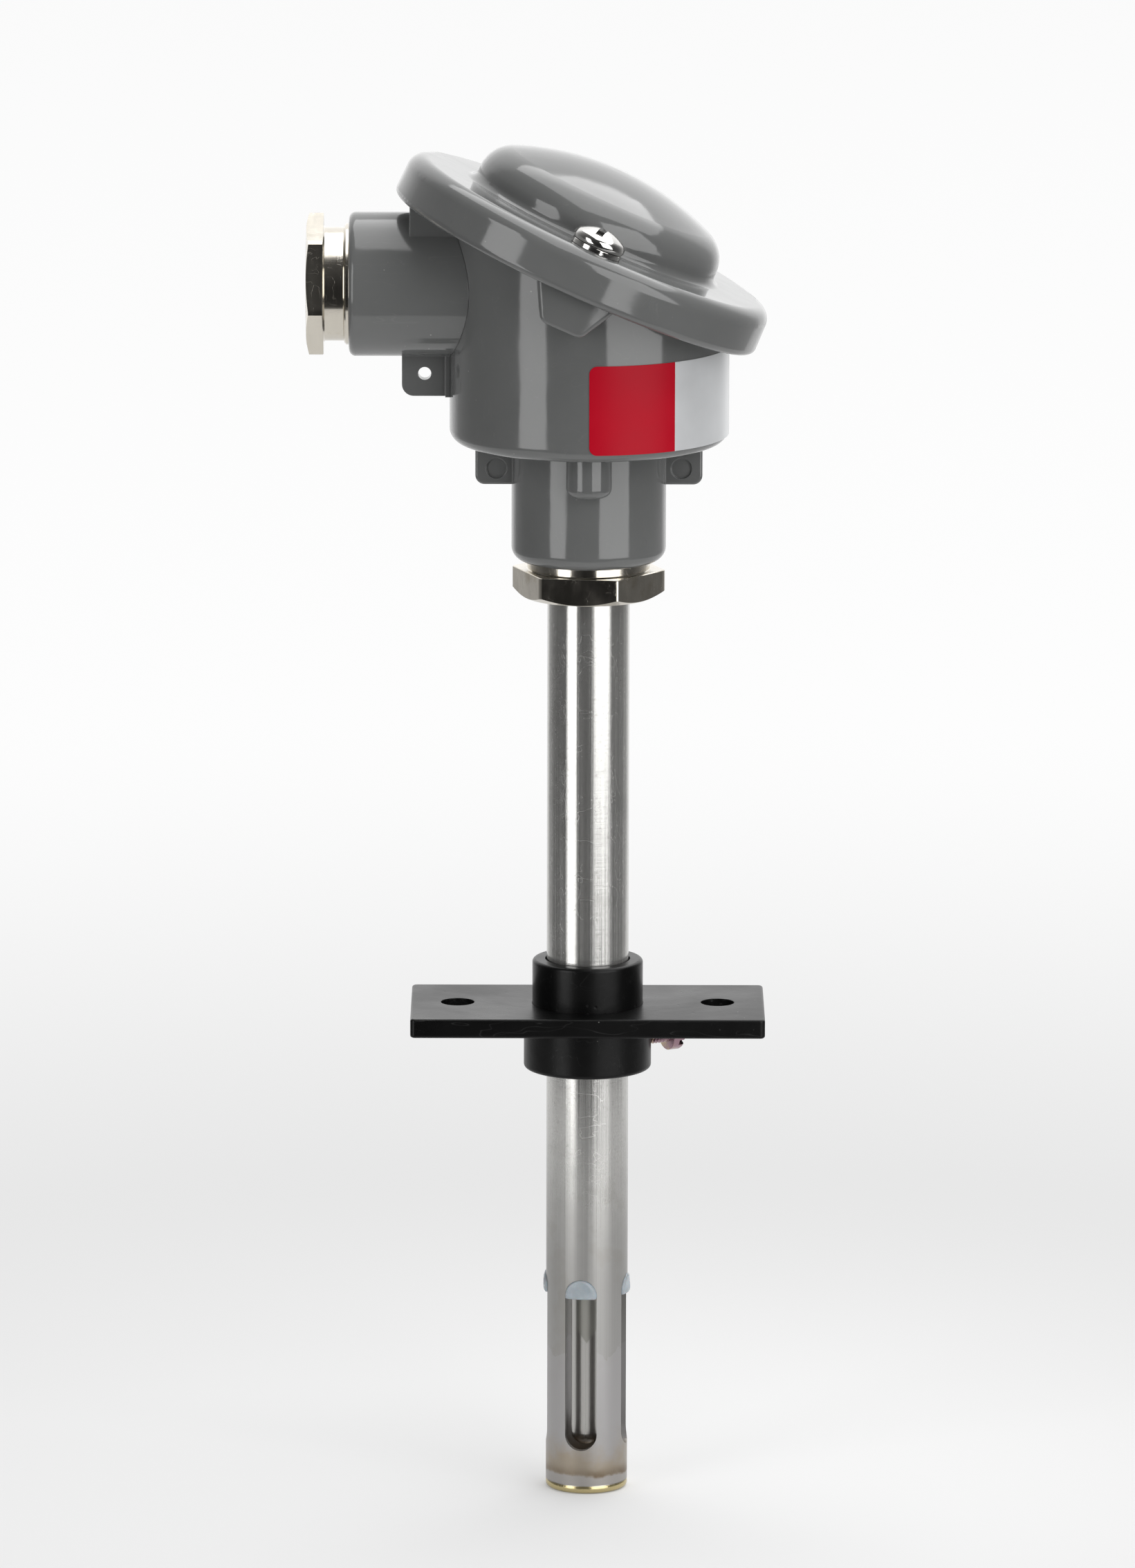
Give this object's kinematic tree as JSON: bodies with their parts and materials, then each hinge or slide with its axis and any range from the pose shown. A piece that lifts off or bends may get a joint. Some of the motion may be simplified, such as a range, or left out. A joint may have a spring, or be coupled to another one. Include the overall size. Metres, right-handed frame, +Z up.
{
  "type": "temperature sensor",
  "caption": "Duct temperature sensor: connection head with a tilted cover and side cable gland on a slotted steel tube, held in a sliding flange.",
  "frame": {"origin": "on the tube's axis at the underside of the flange plate, midway between its two holes", "axes": "+Z up along the tube to the head, +X to the right seen from the front, away from the cable entry"},
  "size_m": [0.0891, 0.0761, 0.2664],
  "materials": {
    "black_lacquer": "satin black lacquer on steel",
    "yellow_zinc": "yellow chromated zinc",
    "stainless": "ground stainless steel, heat tinted at its end",
    "rod_steel": "drawn stainless steel",
    "sealant": "blue-grey silicone",
    "ceramic": "unglazed ceramic",
    "lead": "insulated wire",
    "nickel": "nickel plated brass",
    "plain_brass": "turned brass",
    "grey_lacquer": "glossy grey lacquer on cast aluminium",
    "rubber": "black rubber",
    "bright_steel": "bright plated steel",
    "label": "printed foil, red and silver grey, without text"
  },
  "bodies": {
    "flange": {"flange_plate": "black_lacquer", "flange_hub": "black_lacquer"},
    "clamp_screw": {"clamp_screw": "yellow_zinc"},
    "sensor": {"protection_tube": "stainless", "tube_end_cap": "stainless", "tube_sealant": "sealant", "measuring_rod": "rod_steel", "sensing_chip": "ceramic", "lead_wires": "lead", "head_housing": "grey_lacquer", "housing_neck": "grey_lacquer", "cable_boss": "grey_lacquer", "gland_seal": "rubber", "terminal_base": "ceramic", "terminal_clamp_left": "nickel", "terminal_clamp_right": "nickel", "terminal_screws": "bright_steel", "base_screws": "bright_steel", "earth_washer": "plain_brass", "earth_screw": "bright_steel", "body_label": "label"},
    "neck_ring": {"neck_clamp_ring": "plain_brass"},
    "neck_nut": {"neck_nut": "nickel"},
    "gland_ring": {"gland_washer": "bright_steel"},
    "gland": {"gland_screw": "nickel"},
    "cover": {"head_cover": "grey_lacquer", "cover_gasket": "rubber"},
    "front_washer": {"cover_washer_front": "bright_steel"},
    "front_screw": {"cover_screw_front": "bright_steel"},
    "rear_washer": {"cover_washer_rear": "bright_steel"},
    "rear_screw": {"cover_screw_rear": "bright_steel"}
  },
  "joints": [
    {"name": "tube_slide", "type": "slide", "parent": "flange", "child": "sensor", "axis": [0, 0, 1], "range_m": [-0.065, 0.04]},
    {"name": "clamp_turn", "type": "hinge", "parent": "flange", "child": "clamp_screw", "pos_m": [0, 0, -0.0041], "axis": [0.8829, 0.4695, 0], "range_deg": [0, 1080]},
    {"name": "neck_ring_slide", "type": "slide", "parent": "sensor", "child": "neck_ring", "axis": [0, 0, -1], "range_m": [0, 0.006]},
    {"name": "neck_nut_turn", "type": "hinge", "parent": "neck_ring", "child": "neck_nut", "pos_m": [0, 0, 0.0875], "axis": [0, 0, -1], "range_deg": [0, 1440]},
    {"name": "gland_ring_slide", "type": "slide", "parent": "sensor", "child": "gland_ring", "axis": [-1, 0, 0], "range_m": [0, 0.0045]},
    {"name": "gland_turn", "type": "hinge", "parent": "gland_ring", "child": "gland", "pos_m": [-0.05, 0, 0.1459], "axis": [-1, 0, 0], "range_deg": [0, 1080]},
    {"name": "cover_lift", "type": "slide", "parent": "sensor", "child": "cover", "axis": [0.4114, 0.0279, 0.911], "range_m": [0, 0.03]},
    {"name": "front_washer_rise", "type": "slide", "parent": "cover", "child": "front_washer", "axis": [0.4114, 0.0279, 0.911], "range_m": [0, 0.0064]},
    {"name": "front_screw_turn", "type": "hinge", "parent": "front_washer", "child": "front_screw", "pos_m": [0.0015, -0.02991, 0.15812], "axis": [0.4114, 0.0279, 0.911], "range_deg": [0, 2880]},
    {"name": "rear_washer_rise", "type": "slide", "parent": "cover", "child": "rear_washer", "axis": [0.4114, 0.0279, 0.911], "range_m": [0, 0.0064]},
    {"name": "rear_screw_turn", "type": "hinge", "parent": "rear_washer", "child": "rear_screw", "pos_m": [0.00081, 0.03047, 0.15658], "axis": [0.4114, 0.0279, 0.911], "range_deg": [0, 2880]}
  ],
  "couplings": [
    {"joint": "neck_nut_turn", "follows": "neck_ring_slide", "rad_per_m": 4188.8},
    {"joint": "gland_turn", "follows": "gland_ring_slide", "rad_per_m": 4188.8},
    {"joint": "front_screw_turn", "follows": "front_washer_rise", "rad_per_m": 7854},
    {"joint": "rear_screw_turn", "follows": "rear_washer_rise", "rad_per_m": 7854}
  ]
}
